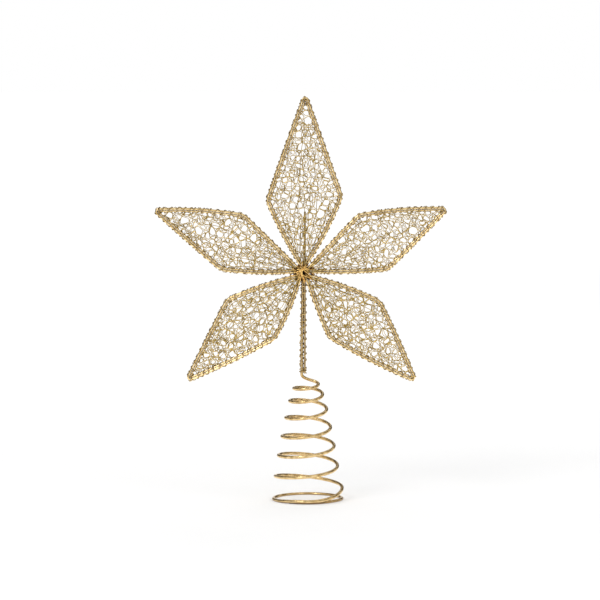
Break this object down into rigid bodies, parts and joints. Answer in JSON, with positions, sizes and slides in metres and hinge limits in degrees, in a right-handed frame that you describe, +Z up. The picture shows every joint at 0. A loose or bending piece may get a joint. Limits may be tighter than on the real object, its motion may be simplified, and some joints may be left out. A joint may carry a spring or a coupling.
{
  "type": "tree topper",
  "caption": "Openwork wire flower with netted kite-shaped petals and a bound stem, carried by a conical spring that slips over the top shoot of a tree.",
  "frame": {"origin": "middle of the object's outline on the surface that it stands on, under the stem", "axes": "+Z up along the stem, -Y towards the viewer that the flower faces, +X to the viewer's right"},
  "size_m": [0.2206, 0.053, 0.3047],
  "materials": {
    "spring_wire": "pale gold plating on drawn wire, bright",
    "frame_wire": "pale gold plating on drawn wire, bright",
    "binding_wire": "pale gold plating on fine wire, bright",
    "net_wire": "pale gold plating on fine wire, satin"
  },
  "bodies": {
    "spring_foot": {"spring_lower": "spring_wire"},
    "spring_waist": {"spring_middle": "spring_wire"},
    "spring_neck": {"spring_upper": "spring_wire"},
    "flower": {"spring_leg": "spring_wire", "stem_rod": "spring_wire", "stem_binding": "binding_wire", "hub_binding": "binding_wire", "frame_top": "frame_wire", "frame_right": "frame_wire", "frame_left": "frame_wire", "frame_low_right": "frame_wire", "frame_low_left": "frame_wire", "lashing_top": "binding_wire", "lashing_right": "binding_wire", "lashing_left": "binding_wire", "lashing_low_right": "binding_wire", "lashing_low_left": "binding_wire", "net_top": "net_wire", "net_right": "net_wire", "net_left": "net_wire", "net_low_right": "net_wire", "net_low_left": "net_wire"}
  },
  "joints": [
    {"name": "spring_squeeze", "type": "slide", "parent": "spring_foot", "child": "spring_waist", "axis": [0, 0, 1], "range_m": [-0.03, 0.008], "stiffness_N_per_m": 490, "springref_m": 0.001, "deforming": ["spring_lower"]},
    {"name": "sway_side", "type": "hinge", "parent": "spring_waist", "child": "spring_neck", "pos_m": [0.0029, 0, 0.0602], "axis": [0, 1, 0], "range_deg": [-18, 18], "stiffness_Nm_per_rad": 0.38, "deforming": ["spring_middle"]},
    {"name": "sway_front", "type": "hinge", "parent": "spring_neck", "child": "flower", "pos_m": [0.0029, 0, 0.0836], "axis": [1, 0, 0], "range_deg": [-18, 18], "stiffness_Nm_per_rad": 0.38, "deforming": ["spring_upper"]}
  ]
}
